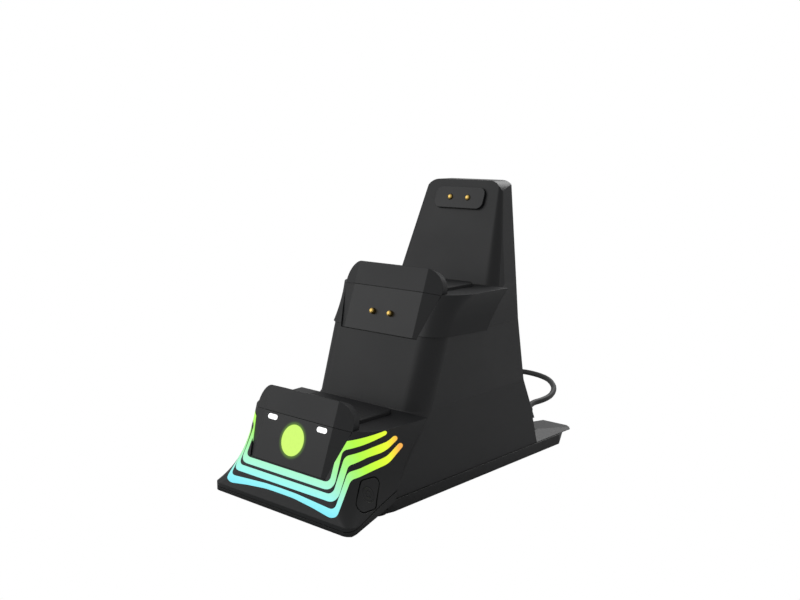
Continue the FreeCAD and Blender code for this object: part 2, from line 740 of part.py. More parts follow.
back_outer = loft("back_outer", back_outlines("back_outer", "0", tower_top, "wall_level"), ruled=True)
back_cavity = loft("back_cavity", back_outlines("back_cavity", "1.6", tower_top + " - 0.01",
                                                "wall_level - 4"), ruled=True)
back_shoulders = plate("back_shoulders",
                       mirrored([("tower_half", "step_up"), ("wall_half + 0.05", "wall_level")]),
                       role="XZ_Plane", offset="-130", length="60")
soften(back_shoulders, "7", lambda edge: edge_length_along(edge, Vector(0, 1, 0)) > 0.99
       and edge.CenterOfMass.z > 100)
back_rounded = boolean("Common", "back_rounded", back_outer, back_shoulders)
back_shell = boolean("Cut", "back_shell", back_rounded, back_cavity)


# The tray closes the housing below. It is a shallow pan with standing walls and screw holes.
TRAY_OUTLINE = mirrored([("28.5", "1.0"), ("28.5", "tray_front"), ("31", "tray_front + 2.5"),
                         ("tray_half", "tray_front + 7"), ("tray_half", "tray_end - 10"),
                         ("tray_half - 4.5", "tray_end"), ("notch_half", "tray_end"),
                         ("notch_half", "notch_start - 0.3")])
TRAY_INSIDE = mirrored([("26.9", "4.6"), ("26.9", "tray_front + 1"), ("29.0", "tray_front + 3.2"),
                        ("tray_half - wall", "tray_front + 7.6"), ("tray_half - wall", "tray_end - 10.8"),
                        ("tray_half - 6", "tray_end - wall"), ("notch_half + wall", "tray_end - wall"),
                        ("notch_half + wall", "notch_start - 2.3")])
tray_pan = plate("tray_pan", TRAY_OUTLINE, offset="tray_low", length="rim_level - tray_low - 0.05")
inside = body_sketch(tray_pan, "tray_inside", "XY_Plane", "rim_level")
draw_polygon(inside, TRAY_INSIDE)
pocket(tray_pan, inside, "rim_level - tray_low - tray_floor")
tray_front_trim = plate("tray_front_trim", mirrored([("40", "-5"), ("40", "23.4")]),
                        offset="2.4", length="20")
tray_nose_trim = lengthwise("tray_nose_trim", [("-5", "sole_level - 5 * sole_rise"),
                                               ("5", "sole_level + 5 * sole_rise"), ("5", "10"), ("-5", "10")])
tray_stern = plate("tray_stern", [("tray_end - 10", "tray_low"), ("tray_end + 1", "tray_low + 3.3"),
                                  ("tray_end + 1", "tray_low - 1"), ("tray_end - 10", "tray_low - 1")],
                   role="YZ_Plane", offset="-60", length="120")

# Screws come up through the tray into bosses on the walls of the housing.
SCREW_PLACES = [Vector(side * 26.6, y, 0) for y in (37.0, 82.0, 113.4) for side in (-1, 1)]
FLOOR = size("tray_low + tray_floor")


def upright(radius, low, high, place):
    return Part.makeCylinder(radius, high - low, place + Vector(0, 0, low))


def group(label, shapes):
    """Several like pieces in one named object, as separate solids."""
    feature = doc.addObject("Part::Feature", label)
    feature.Shape = Part.makeCompound(shapes)
    feature.Label = label
    return feature


def make(label, shape):
    return group(label, [shape])


front_cover = make("front_cover", max(front_cut.Shape.Solids, key=lambda solid: solid.Volume))


bosses = make("bosses", Part.makeCompound([upright(3.0, FLOOR, 13.0, at) for at in SCREW_PLACES]))
pilot_holes = make("pilot_holes", Part.makeCompound([upright(1.2, 0, 11.5, at) for at in SCREW_PLACES]))
head_wells = make("head_wells", Part.makeCompound([upright(2.7, 0, 2.0, at) for at in SCREW_PLACES]))
clear_holes = make("clear_holes", Part.makeCompound([upright(1.4, 0, 4.0, at) for at in SCREW_PLACES]))
tower_recess = lip_recess("tower_lip_recess", REAR_STEP)
tower_shell = boolean("Cut", "tower_shell", tower_solid, tower_cavity, deck_cavity, tower_recess, notch,
                      inlet_way, *deck_sides)
tower_bossed = boolean("Fuse", "tower_bossed", tower_shell, bosses)
main_housing = boolean("Cut", "main_housing", tower_bossed, pilot_holes)
tray_trimmed = boolean("Cut", "tray_trimmed", tray_pan, tray_front_trim, tray_nose_trim, tray_stern)
tray_whole = boolean("Fuse", "tray_whole", tray_trimmed, sole_rim, *sole_shelves)
base_tray = boolean("Cut", "base_tray", tray_whole, head_wells, clear_holes, inlet_way)
screws = group("base_screws", [upright(2.5, 1.0, 2.0, at).fuse(upright(1.2, 2.0, 11.0, at)).cut(
    upright(0.8, 0.9, 1.5, at)) for at in SCREW_PLACES])

feet = []
for word_y, y in (("front", 23.2), ("rear", 125.0)):
    for word_x, side in (("left", -1), ("right", 1)):
        foot = new_body("foot_%s_%s" % (word_y, word_x))
        ring = body_sketch(foot, foot.Name + "_outline", "XY_Plane")
        draw_circle(ring, str(side * 26.0), str(y), "foot_radius")
        pad(foot, ring, "tray_low")
        soften(foot, "0.4", lambda edge: edge.CenterOfMass.z < 0.01, kind="Chamfer")
        feet.append(foot)

# Boards and what they carry.
main_board = plate("main_board",
                   mirrored([("23.5", "44"), ("23.5", "122"), ("inlet_width / 2 + 0.3", "122"),
                             ("inlet_width / 2 + 0.3", "notch_start - inlet_depth - 0.4")]),
                   offset="tray_low + tray_floor + 0.8", length="board_thickness")


def usb_shell(label, half, low, high, start, end, wall=None):
    """A flat tube with round sides, as the metal shell of a small round-sided connector."""
    def tube(shrink, first, last):
        r = (high - low) / 2 - shrink
        reach = half - (high - low) / 2
        middle = (low + high) / 2
        sides = [Part.makeCylinder(r, last - first, Vector(x, first, middle), Vector(0, 1, 0))
                 for x in (-reach, reach)]
        core = Part.makeBox(2 * reach, last - first, 2 * r, Vector(-reach, first, middle - r))
        return core.fuse(sides).removeSplitter()
    shape = tube(0, start, end)
    if wall:
        shape = shape.cut(tube(wall, start + wall, end + 1))
    feature = doc.addObject("Part::Feature", label)
    feature.Shape = shape
    feature.Label = label
    return feature


INLET_Y = size("notch_start")
LEVEL = size("inlet_level")
usb_inlet = usb_shell("usb_inlet", size("inlet_width") / 2, LEVEL - size("inlet_height") / 2,
                      LEVEL + size("inlet_height") / 2, INLET_Y - size("inlet_depth"), INLET_Y, wall=0.28)
plug_shell = usb_shell("cord_plug_shell", size("shell_width") / 2, LEVEL - size("shell_height") / 2,
                       LEVEL + size("shell_height") / 2, INLET_Y - 6.2, INLET_Y + 0.4)

plug_body = plate("cord_plug_body", mirrored([("plug_width / 2", "notch_start + 0.4"),
                                              ("plug_width / 2", "notch_start + 0.4 + plug_length")]),
                  offset="inlet_level - plug_height / 2", length="plug_height")
soften(plug_body, "1.8", lambda edge: edge_length_along(edge, Vector(0, 1, 0)) > 0.99)
BOOT_Y = size("notch_start + 0.4 + plug_length")
cord_boot = doc.addObject("Part::Cone", "cord_boot")
bind(cord_boot, "Radius1", "2.6")
bind(cord_boot, "Radius2", "cord_radius + 0.3")
bind(cord_boot, "Height", "boot_length")
cord_boot.Placement = Placement(Vector(0, BOOT_Y, LEVEL), Rotation(Vector(1, 0, 0), -90))


# Sprung contacts. Each set of two is laid out in a leaning frame like the lip's: x across, z along
# the leaning face and y into it, with y = 0 on the face itself.
def turned(label, profile, place, frame):
    """A turned piece whose axis points into the leaning face. The profile is radius and depth."""
    edges = Part.makePolygon([Vector(r, d, 0) for r, d in profile + profile[:1]])
    shape = Part.Face(edges).revolve(Vector(0, 0, 0), Vector(0, 1, 0), 360)
    shape.translate(place)
    shape.Placement = frame * shape.Placement
    return make(label, shape) if label else shape


contact_parts = []


def contact_set(word, frame):
    half = size("pin_spacing") / 2
    level = size("contact_level")
    r, flange, clear = size("pin_radius"), size("pin_flange"), size("pin_clearance")
    back = size("pin_flange_depth")
    barrel, end = size("barrel_radius"), size("barrel_end")
    rise = size("pin_rise")
    barrels = []
    for side, hand in ((-1, "left"), (1, "right")):
        place = Vector(side * half, 0, level)
        pin = turned("contact_pin_%s_%s" % (word, hand),
                     [(0, -rise), (r * 0.55, -rise), (r * 0.9, -rise + 0.3), (r, -rise + 0.8), (r, back),
                      (flange, back), (flange, back + 0.8), (0, back + 0.8)], place, frame)
        barrels.append(turned(None, [(r + clear, 2.7), (barrel, 2.7), (barrel, end), (0, end), (0, end - 0.4),
                                     (flange + clear, end - 0.4), (flange + clear, back - 0.05),
                                     (r + clear, back - 0.05)], place, frame))
        contact_parts.append(pin)
    contact_parts.append(group("pin_barrels_" + word, barrels))
    block = plate("contact_block_" + word,
                  mirrored([("contact_half", "contact_level - contact_height / 2"),
                            ("contact_half", "contact_level + contact_height / 2")]),
                  role="XZ_Plane", offset="-5.3", length="0.9", reverse=True)
    board = plate("contact_board_" + word,
                  mirrored([("contact_half", "contact_level - contact_height / 2"),
                            ("contact_half", "contact_level + contact_height / 2")]),
                  role="XZ_Plane", offset="-barrel_end", length="0.8", reverse=True)
    holes = body_sketch(block, block.Name + "_holes", "XZ_Plane")
    for side in (-1, 1):
        draw_circle(holes, "%d * pin_spacing / 2" % side, "contact_level", "barrel_radius")
    pocket(block, holes)
    for thing in (block, board):
        thing.Placement = frame
        contact_parts.append(thing)


def pin_ways(label, frame):
    """Holes for the two pins, wide for the barrel behind the face."""
    shapes = []
    for side in (-1, 1):
        place = Vector(side * size("pin_spacing") / 2, 0, size("contact_level"))
        bore, barrel = size("pin_radius") + 0.1, size("barrel_radius")
        shapes.append(turned(None, [(0, -5), (bore, -5), (bore, 2.7), (barrel, 2.7), (barrel, 9), (0, 9)],
                             place, frame))
    return group(label, shapes)


FRONT_CONTACTS = lip_placement(REAR_STEP)
REAR_CONTACTS = lip_placement(REAR_STEP * 2)
contact_set("front", FRONT_CONTACTS)
contact_set("rear", REAR_CONTACTS)
front_ways = pin_ways("pin_ways_front", FRONT_CONTACTS)
rear_ways = pin_ways("pin_ways_rear", REAR_CONTACTS)
contact_plate_front = boolean("Cut", "contact_plate_front", contact_panel_form, front_ways)
rear_lip = boolean("Cut", "rear_lip", rear_lip_form, front_ways)
plate_form = plate("contact_plate_form",
                   mirrored([("contact_half + 3", "contact_level - contact_height / 2 - 1.5"),
                             ("contact_half + 3", "contact_level + contact_height / 2 + 1.5")]),
                   role="XZ_Plane", offset="0.8", length="2.4", reverse=True)
soften(plate_form, "3", lambda edge: edge_length_along(edge, Vector(0, 1, 0)) > 0.99)
plate_form.Placement = REAR_CONTACTS
contact_plate_rear = boolean("Cut", "contact_plate_rear", plate_form, rear_ways)
back_recess = plate("back_recess",
                    mirrored([("contact_half + 1", "contact_level - contact_height / 2 - 0.6"),
                              ("contact_half + 1", "contact_level + contact_height / 2 + 0.6")]),
                    role="XZ_Plane", offset="2", length="6", reverse=True)
back_recess.Placement = REAR_CONTACTS
back_wall = boolean("Cut", "back_wall", back_shell, back_recess, plate_form)

# Soft pads that line the two seats.
PAD_OUTLINE = mirrored([("20", "18.4"), ("20", "40.2")])
seat_pads = []
for word, step in (("front", Vector(0, 0, 0)), ("rear", REAR_STEP)):
    cushion = plate("seat_pad_" + word, PAD_OUTLINE, offset="seat_level", length="1.4")
    soften(cushion, "4", lambda edge: edge_length_along(edge, Vector(0, 0, 1)) > 0.99)
    soften(cushion, "0.6", lambda edge: edge.CenterOfMass.z > size("seat_level") + 1.3)
    cushion.Placement = Placement(step, Rotation())
    seat_pads.append(cushion)

# Lights of the front: a board behind the lip with its lamps, and the button's small switch board.
light_board = plate("light_board", mirrored([("17", "-3"), ("17", "17.2")]), role="XZ_Plane",
                    offset="-6.6", length="1.0", reverse=True)
light_board.Placement = lip_placement()
LAMP_SPOTS = [(x, z) for z in (-1.2, 9.7) for x in (-9.0, 0.0, 9.0)] + [(-12.8, 15.9), (12.8, 15.9)]
lamps = []
for x, z in LAMP_SPOTS:
    lamp = Part.makeBox(2.4, 1.0, 2.4, Vector(x - 1.2, 5.5, z - 1.2))
    lamp.Placement = lip_placement() * lamp.Placement
    lamps.append(lamp)
board_lamps = group("board_lamps", lamps)
button_board = plate("button_board", [("7.4", "2.5"), ("16.5", "2.5"), ("19", "16"), ("12", "16")],
                     role="YZ_Plane", offset="18.2", length="1.2")
switch_body = Part.makeBox(2.6, 6, 6, Vector(19.4, size("button_y") - 3, size("button_z") - 3))
switch_tip = Part.makeCylinder(1.6, 1.2, Vector(22.0, size("button_y"), size("button_z")), Vector(1, 0, 0))
tact_switch = make("tact_switch", switch_body.fuse(switch_tip))

# Power parts on the main board: a coil, two chips and two capacitors.
BOARD_TOP = size("tray_low + tray_floor + 0.8 + board_thickness")
board_parts = group("board_parts", [
    Part.makeBox(7, 7, 3, Vector(-14, 92, BOARD_TOP)),
    Part.makeBox(5, 6, 1.2, Vector(4, 94, BOARD_TOP)),
    Part.makeBox(7, 7, 1.4, Vector(-4, 66, BOARD_TOP)),
    Part.makeCylinder(2.5, 5, Vector(14, 104, BOARD_TOP)),
    Part.makeCylinder(2.5, 5, Vector(14, 88, BOARD_TOP)),
])


# The power cord. Its route is straight runs joined by tangent arcs: out of the boot, down to the
# table, round a wide loop to the left and into a coil behind the dock.
CORD = size("cord_radius")
COIL = Vector(-87.6, 184.5, 0)
TURN_GAP = 2 * CORD
OUTER_TURN = size("coil_radius") + 1.5 * TURN_GAP
CORD_ROUTE = [
    Vector(0, BOOT_Y + size("boot_length") + 0.35, LEVEL),
    Vector(-1.5, BOOT_Y + size("boot_length") + 12.5, 2.6),
    Vector(-11.5, 180, CORD),
    Vector(-15.6, 196, CORD),
    Vector(-22.5, 211, CORD),
    Vector(-34.5, 223.5, CORD),
    Vector(-49, 229, CORD),
    Vector(-59.8, 227.1, CORD),
    Vector(-67.5, 220.7, CORD),
    Vector(-70.9, 211.3, CORD),
    Vector(-69.2, 199.4, CORD),
]


def cord_path(route):
    """Straight runs with an arc at each point, as large as its two runs allow."""
    edges = []
    start = route[0]
    for before, here, after in zip(route, route[1:], route[2:]):
        back, on = before - here, after - here
        half_turn = (math.pi - back.getAngle(on)) / 2
        reach = 0.45 * min(back.Length, on.Length)
        back.normalize()
        on.normalize()
        first, last = here + back * reach, here + on * reach
        inward = (back + on).normalize()
        radius = reach / math.tan(half_turn)
        middle = here + inward * (radius / math.cos(half_turn) - radius)
        edges.append(Part.LineSegment(start, first).toShape())
        edges.append(Part.Arc(first, middle, last).toShape())
        start = last
    edges.append(Part.LineSegment(start, route[-1]).toShape())
    return Part.Wire(edges)


path = cord_path(CORD_ROUTE)
ring = Part.Wire(Part.Circle(CORD_ROUTE[0], CORD_ROUTE[1] - CORD_ROUTE[0], CORD).toShape())
cord_tube = make("cord_tube", path.makePipeShell([ring], True, False))

# The coil is one solid: two layers of four turns, with the two ends leading straight out of it.
inner, outer_r, top = OUTER_TURN - 3 * TURN_GAP - CORD, OUTER_TURN + CORD, 4 * CORD
bundle = Part.makeCylinder(outer_r, top, COIL).cut(Part.makeCylinder(inner, top, COIL))
bundle = bundle.makeFillet(1.2, [edge for edge in bundle.Edges if edge.Curve.TypeId == "Part::GeomCircle"])
coil_in = Part.makeCylinder(CORD, 13, CORD_ROUTE[-1], CORD_ROUTE[-1] - CORD_ROUTE[-2])
FAR_LEVEL = size("far_plug_height") / 2
FAR_X = COIL.x + OUTER_TURN
coil_out = Part.makeCylinder(CORD, 16, Vector(FAR_X, COIL.y + 2, FAR_LEVEL), Vector(0, -1, 0))
cord_coil = make("cord_coil", bundle.fuse([coil_in, coil_out]).removeSplitter())
far_y = COIL.y - 14
far_boot = Part.makeCone(CORD + 0.3, 3.0, 9, Vector(FAR_X, far_y, FAR_LEVEL), Vector(0, -1, 0))
far_half = size("far_plug_width") / 2
far_block = Part.makeBox(2 * far_half, size("far_plug_length"), 2 * FAR_LEVEL,
                         Vector(FAR_X - far_half, far_y - 9 - size("far_plug_length"), 0))
far_block = far_block.makeFillet(2.0, [edge for edge in far_block.Edges
                                       if edge_length_along(edge, Vector(0, 1, 0)) > 0.99])
far_plug_body = make("far_plug_body", far_block.fuse(far_boot).removeSplitter())
tip = far_y - 9 - size("far_plug_length")
far_shell = Part.makeBox(12, 12, 4.5, Vector(FAR_X - 6, tip - 12, FAR_LEVEL - 2.25))
far_shell = far_shell.cut(Part.makeBox(11.4, 11, 1.9, Vector(FAR_X - 5.7, tip - 12.5, FAR_LEVEL + 0.05)))
far_plug_shell = make("far_plug_shell", far_shell)

doc.recompute()
EXPORTS = [front_cover, front_lip, front_panel, *lamp_lenses, mark_lens, *light_strips, mode_button,
           rear_seat, rear_lip, contact_plate_front, contact_plate_rear, main_housing, back_wall,
           base_tray, screws, *feet, *seat_pads, main_board, board_parts, usb_inlet, light_board,
           board_lamps, button_board, tact_switch, *contact_parts,
           plug_shell, plug_body, cord_boot, cord_tube, cord_coil, far_plug_body, far_plug_shell]

for thing in doc.Objects:
    if "Invalid" in thing.State or "Error" in thing.State:
        raise RuntimeError("%s failed: %s" % (thing.Label, thing.State))
for thing in EXPORTS:
    if thing.Shape.isNull() or not thing.Shape.isValid():
        raise RuntimeError("bad shape: " + thing.Label)

# The pieces go out with the frame's origin at the centre of the base.
os.makedirs("parts", exist_ok=True)
for thing in EXPORTS:
    shape = thing.Shape.copy()
    shape.translate(Vector(0, -size("deck_end") / 2, 0))
    shape.exportStep("parts/%s.step" % thing.Label)
    print("%-24s %2d solids  %9.1f mm3" % (thing.Label, len(thing.Shape.Solids), thing.Shape.Volume))
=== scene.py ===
import math

import bpy
import numpy as np
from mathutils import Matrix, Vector


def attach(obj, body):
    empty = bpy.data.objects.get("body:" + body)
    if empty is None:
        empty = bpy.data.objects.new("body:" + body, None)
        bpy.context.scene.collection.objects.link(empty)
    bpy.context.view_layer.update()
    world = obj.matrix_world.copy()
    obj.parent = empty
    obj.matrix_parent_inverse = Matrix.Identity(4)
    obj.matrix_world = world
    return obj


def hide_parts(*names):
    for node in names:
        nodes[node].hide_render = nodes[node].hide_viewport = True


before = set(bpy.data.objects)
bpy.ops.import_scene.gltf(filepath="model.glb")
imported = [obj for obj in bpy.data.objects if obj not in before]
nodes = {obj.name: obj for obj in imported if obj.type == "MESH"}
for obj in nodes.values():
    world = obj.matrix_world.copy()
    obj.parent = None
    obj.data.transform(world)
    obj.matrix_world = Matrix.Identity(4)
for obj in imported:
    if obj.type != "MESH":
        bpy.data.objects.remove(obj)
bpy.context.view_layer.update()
scene = bpy.context.scene


def srgb(code):
    """A six-digit display colour as the linear values that shaders take."""
    parts = [int(code[i:i + 2], 16) / 255 for i in (0, 2, 4)]
    return [p / 12.92 if p <= 0.04045 else ((p + 0.055) / 1.055) ** 2.4 for p in parts] + [1.0]


def add(tree, kind, links=(), **settings):
    """Add one shader node. A setting names a socket if there is one of that name, or else a property."""
    made = tree.nodes.new("ShaderNode" + kind)
    for name, value in settings.items():
        socket = made.inputs.get(name.replace("_", " "))
        if socket is None:
            setattr(made, name, value)
        else:
            socket.default_value = value
    for output, name in links:
        tree.links.new(output, made.inputs[name])
    return made


# Camera. The place and lens come from a fit to points and edges of the photograph, whose scale rests
# on one assumed length.
azimuth, elevation = math.radians(41.8), math.radians(9.4)
back = Vector((math.sin(azimuth) * math.cos(elevation), -math.cos(azimuth) * math.cos(elevation),
               math.sin(elevation)))
camera = bpy.data.objects.new("camera", bpy.data.cameras.new("camera"))
camera.data.sensor_width = 36.0
camera.data.lens = 45.1
camera.data.clip_start = 0.01
camera.location = (0.2561, -0.29325, 0.1314)
camera.rotation_euler = back.to_track_quat("Z", "Y").to_euler()
scene.collection.objects.link(camera)
scene.camera = camera

# Power cord. It leaves the boot at the rear, drops to the table, makes one wide loop and winds into
# a flat coil of two layers behind the dock, with its far plug beside the coil.
CORD_RADIUS = 0.0014
PLUG_END = 0.0820
coil_centre = Vector((-0.0876, 0.11275, 0))
OUTER_TURN, TURN_STEP = 0.0207, 2 * CORD_RADIUS
TURNS, POINTS_PER_TURN, LEAD_IN = 8, 16, math.radians(10)
INNERMOST = 3.875            # turns counted inward before the cord climbs to the upper layer
CLIMB = 0.25                 # the part of a turn that the climb takes
UPPER_LEVEL = CORD_RADIUS + TURN_STEP
on_table = [(-0.0132, 0.1052), (-0.0124, 0.1127), (-0.0136, 0.1215), (-0.0178, 0.1312), (-0.0241, 0.1410),
            (-0.0352, 0.1524), (-0.049, 0.15725), (-0.0598, 0.15535), (-0.0675, 0.14895),
            (-0.0709, 0.13955), (-0.0692, 0.12765)]
route = [(0, PLUG_END, 0.0046), (-0.0028, 0.0885, 0.0032), (-0.0092, 0.0963, 0.0017)]
route += [(x, y, CORD_RADIUS) for x, y in on_table]
for step in range(TURNS * POINTS_PER_TURN + 1):
    turn = step / POINTS_PER_TURN
    radius = OUTER_TURN - TURN_STEP * min(turn, TURNS - turn, INNERMOST)
    height = CORD_RADIUS + TURN_STEP * min(max((turn - INNERMOST) / CLIMB, 0.0), 1.0)
    angle = LEAD_IN - 2 * math.pi * turn
    route.append((coil_centre.x + radius * math.cos(angle),
                  coil_centre.y + radius * math.sin(angle), height))
route += [(-0.0669, 0.1118, UPPER_LEVEL), (-0.0669, 0.1050, 0.0041), (-0.0669, 0.0975, 0.0040)]
cord_line = bpy.data.curves.new("power_cord", "CURVE")
cord_line.dimensions = "3D"
cord_line.bevel_depth = CORD_RADIUS
cord_line.bevel_resolution = 6
cord_line.resolution_u = 8
spline = cord_line.splines.new("NURBS")
spline.points.add(len(route) - 1)
for point, place in zip(spline.points, route):
    point.co = (*place, 1.0)
spline.order_u = 3
spline.use_endpoint_u = True
power_cord = bpy.data.objects.new("power_cord", cord_line)
scene.collection.objects.link(power_cord)
jacket = bpy.data.materials.new("pvc_jacket")
jacket.use_nodes = True
tree = jacket.node_tree
shader = tree.nodes["Principled BSDF"]
shader.inputs["Base Color"].default_value = srgb("0D0E0F")
place = add(tree, "TexCoord")
skin = add(tree, "TexNoise", [(place.outputs["Object"], "Vector")], Scale=2200.0, Detail=2.0)
rough = add(tree, "MapRange", [(skin.outputs["Fac"], "Value")], To_Min=0.46, To_Max=0.56)
tree.links.new(rough.outputs[0], shader.inputs["Roughness"])
pitted = add(tree, "Bump", [(skin.outputs["Fac"], "Height")], Strength=0.25, Distance=0.00004)
tree.links.new(pitted.outputs[0], shader.inputs["Normal"])
cord_line.materials.append(jacket)
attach(power_cord, "dock")
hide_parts("cord_tube", "cord_coil")

# White surroundings. The floor and the sky are plain white to the camera and soft grey as light.
SKY_LIGHT, FLOOR_GREY, FLOOR_REACH = 0.4, 0.55, 3
world = bpy.data.worlds.new("studio")
world.use_nodes = True
tree = world.node_tree
tree.nodes.clear()
ray = add(tree, "LightPath")
seen = add(tree, "Background", Color=(1, 1, 1, 1), Strength=1.0)
lit = add(tree, "Background", Color=(1, 1, 1, 1), Strength=SKY_LIGHT)
mix = add(tree, "MixShader", [(ray.outputs["Is Camera Ray"], 0), (lit.outputs[0], 1),
                              (seen.outputs[0], 2)])
add(tree, "OutputWorld", [(mix.outputs[0], "Surface")])
scene.world = world
floor_mesh = bpy.data.meshes.new("floor")
corner_signs = ((-1, -1), (1, -1), (1, 1), (-1, 1))
floor_mesh.from_pydata([(FLOOR_REACH * x, FLOOR_REACH * y, 0) for x, y in corner_signs], [], [(0, 1, 2, 3)])
floor = bpy.data.objects.new("floor", floor_mesh)
scene.collection.objects.link(floor)
paper = bpy.data.materials.new("white_paper")
paper.use_nodes = True
tree = paper.node_tree
tree.nodes.clear()
ray = add(tree, "LightPath")
seen = add(tree, "Emission", Color=(1, 1, 1, 1), Strength=1.0)
lit = add(tree, "BsdfDiffuse", Color=(FLOOR_GREY, FLOOR_GREY, FLOOR_GREY, 1))
mix = add(tree, "MixShader", [(ray.outputs["Is Camera Ray"], 0), (lit.outputs[0], 1),
                              (seen.outputs[0], 2)])
add(tree, "OutputMaterial", [(mix.outputs[0], "Surface")])
floor_mesh.materials.append(paper)

# Lights. A large soft light from the front left and a smaller one from above the rear, both aimed
# at the middle of the dock. Each has its place, its side in metres and its power in watts.
AIM = Vector((0, 0, 0.05))
for name, place, size, power in (("key", (-0.75, -0.75, 0.55), 0.9, 2.6),
                                 ("rim", (-0.1, 0.7, 0.8), 0.6, 6.0)):
    lamp = bpy.data.objects.new(name, bpy.data.lights.new(name, "AREA"))
    lamp.data.size = size
    lamp.data.energy = power
    lamp.location = place
    lamp.rotation_euler = (Vector(place) - AIM).to_track_quat("Z", "Y").to_euler()
    scene.collection.objects.link(lamp)


# Moulded plastics. All share one layout: a colour that clouds a little, a roughness that varies, a
# fine moulded grain and softened edges. Patterns such as ribs are raised on top of that.
def plastic(name, colour, roughness, grain, bump, edge=0.0003):
    """A material with a display colour, a mean roughness, a grain size in metres, the grain's strength and
    the radius that softens the edges."""
    material = bpy.data.materials.new(name)
    material.use_nodes = True
    tree = material.node_tree
    shader = tree.nodes["Principled BSDF"]
    shader.inputs["IOR"].default_value = 1.5
    place = add(tree, "TexCoord")
    fine = add(tree, "TexNoise", [(place.outputs["Object"], "Vector")], Scale=1 / grain, Detail=2.0)
    broad = add(tree, "TexNoise", [(place.outputs["Object"], "Vector")], Scale=60.0, Detail=3.0)
    rough = add(tree, "MapRange", [(broad.outputs["Fac"], "Value")],
                To_Min=roughness - 0.05, To_Max=roughness + 0.05)
    tree.links.new(rough.outputs[0], shader.inputs["Roughness"])
    base = srgb(colour)
    cloud = add(tree, "ValToRGB", [(broad.outputs["Fac"], "Fac")])
    cloud.color_ramp.elements[0].color = [part * 0.93 for part in base[:3]] + [1.0]
    cloud.color_ramp.elements[1].color = [part * 1.07 for part in base[:3]] + [1.0]
    tree.links.new(cloud.outputs["Color"], shader.inputs["Base Color"])
    round_edge = add(tree, "Bevel", Radius=edge, samples=4)
    grained = add(tree, "Bump", [(fine.outputs["Fac"], "Height"), (round_edge.outputs[0], "Normal")],
                  Strength=bump, Distance=0.00005)
    tree.links.new(grained.outputs[0], shader.inputs["Normal"])
    return material


def raise_pattern(material, kind, output, depth, **settings):
    """Lay one texture over the material's grain as relief of the given depth."""
    tree = material.node_tree
    normal = tree.nodes["Principled BSDF"].inputs["Normal"]
    grained = normal.links[0].from_socket
    place = add(tree, "TexCoord")
    pattern = add(tree, kind, [(place.outputs["Object"], "Vector")], **settings)
    raised = add(tree, "Bump", [(pattern.outputs[output], "Height"), (grained, "Normal")], Distance=depth)
    tree.links.new(raised.outputs[0], normal)
    return pattern


def paint(material, *names):
    """Give the named pieces one material in place of their plain ones."""
    for name in names:
        mesh = nodes[name].data
        mesh.materials.clear()
        mesh.materials.append(material)


abs_shell = plastic("charcoal_abs", "17181A", 0.48, 0.00028, 0.5)
abs_sole = plastic("black_abs", "111214", 0.52, 0.00028, 0.5)
abs_lip = plastic("charcoal_abs_fine", "17181A", 0.46, 0.00022, 0.35)
smoked = plastic("smoked_polycarbonate", "151618", 0.4, 0.0002, 0.08)
nylon = plastic("black_nylon", "121214", 0.5, 0.0003, 0.4)
paint(abs_shell, "front_cover", "rear_seat", "main_housing", "back_wall")
paint(abs_sole, "base_tray")
paint(abs_lip, "front_lip", "rear_lip")
paint(smoked, "contact_plate_front", "contact_plate_rear")
paint(nylon, "board_parts", "contact_block_front", "contact_block_rear", "tact_switch")

# Soft parts. The seat pads carry a fine field of raised dots and the feet are plain rubber.
silicone = plastic("black_silicone", "141517", 0.62, 0.0004, 0.3)
raise_pattern(silicone, "TexVoronoi", "Distance", -0.00012, Scale=700.0, Randomness=0.0)
rubber = plastic("black_rubber", "0F1011", 0.75, 0.0005, 0.6)
paint(silicone, "seat_pad_front", "seat_pad_rear")
paint(rubber, "foot_front_left", "foot_front_right", "foot_rear_left", "foot_rear_right")

# Plugs and boots. Moulded PVC with grip ribs across the length of the plug.
grip = plastic("moulded_pvc", "1A1B1D", 0.45, 0.0004, 0.3)
ribs = raise_pattern(grip, "TexWave", "Fac", 0.00025, Scale=190.0)
ribs.bands_direction = "Y"
paint(grip, "cord_plug_body", "cord_boot", "far_plug_body")

# Mode button. The same plastic as the cover, with a fine double ring pressed into its face. The
# rings' stops are distances from the button's centre, as shares of four millimetres.
button_abs = plastic("charcoal_abs_button", "17181A", 0.45, 0.00028, 0.4)
tree = button_abs.node_tree
shader = tree.nodes["Principled BSDF"]
place = add(tree, "TexCoord")
flat = add(tree, "VectorMath", [(place.outputs["Object"], 0)], operation="MULTIPLY")
flat.inputs[1].default_value = (0, 1, 1)
reach = add(tree, "VectorMath", [(flat.outputs[0], 0)], operation="DISTANCE")
reach.inputs[1].default_value = (0, -0.05865, 0.0109)
scaled = add(tree, "MapRange", [(reach.outputs["Value"], "Value")], From_Max=0.004)
rings = add(tree, "ValToRGB", [(scaled.outputs[0], "Fac")])
ring_stops = [(0.0, 1.0), (0.18, 1.0), (0.22, 0.0), (0.27, 0.0), (0.31, 1.0), (0.49, 1.0), (0.53, 0.0),
              (0.58, 0.0), (0.62, 1.0), (1.0, 1.0)]
for _ in ring_stops[2:]:
    rings.color_ramp.elements.new(0.5)
for element, (position, level) in zip(rings.color_ramp.elements, ring_stops):
    element.position = position
    element.color = (level, level, level, 1)
pressed = add(tree, "Bump", [(rings.outputs["Color"], "Height"),
                             (shader.inputs["Normal"].links[0].from_socket, "Normal")], Distance=0.00025)
tree.links.new(pressed.outputs[0], shader.inputs["Normal"])
paint(button_abs, "mode_button")

